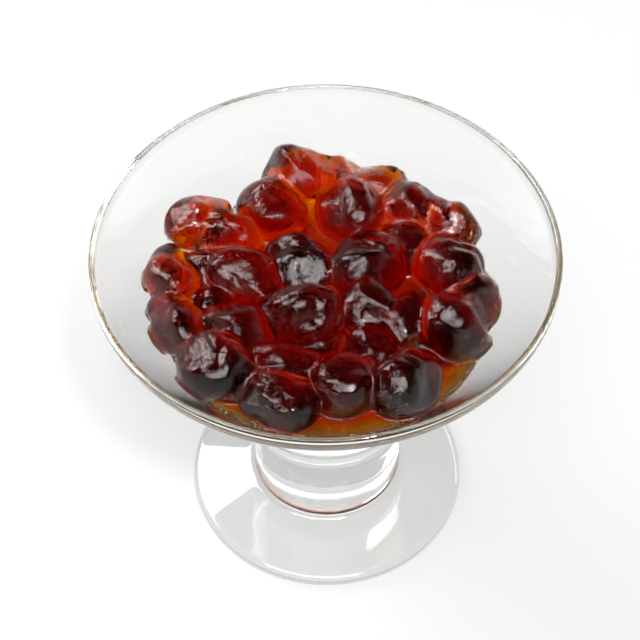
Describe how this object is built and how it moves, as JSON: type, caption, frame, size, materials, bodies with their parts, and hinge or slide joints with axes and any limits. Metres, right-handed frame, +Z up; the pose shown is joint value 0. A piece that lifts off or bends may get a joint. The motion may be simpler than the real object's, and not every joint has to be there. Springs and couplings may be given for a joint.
{
  "type": "tapioca pearls in syrup in a footed glass dish",
  "caption": "Footed dessert dish of clear glass, filled with large cooked tapioca pearls in dark sugar syrup.",
  "frame": {"origin": "centre of the foot's ring, in the plane of the table that the dish stands on", "axes": "+Z up the dish's axis; -Y is the front, and the highest pearl lies at the back, towards +Y"},
  "size_m": [0.084, 0.084, 0.0725],
  "materials": {
    "clear_glass": "clear, polished",
    "amber_syrup": "clear dark amber liquid",
    "tapioca_jelly": "glossy, translucent, dark red-brown with orange edges"
  },
  "bodies": {
    "root": {"glass_dish": "clear_glass", "syrup": "amber_syrup", "pearl_heap": "tapioca_jelly"}
  },
  "joints": []
}
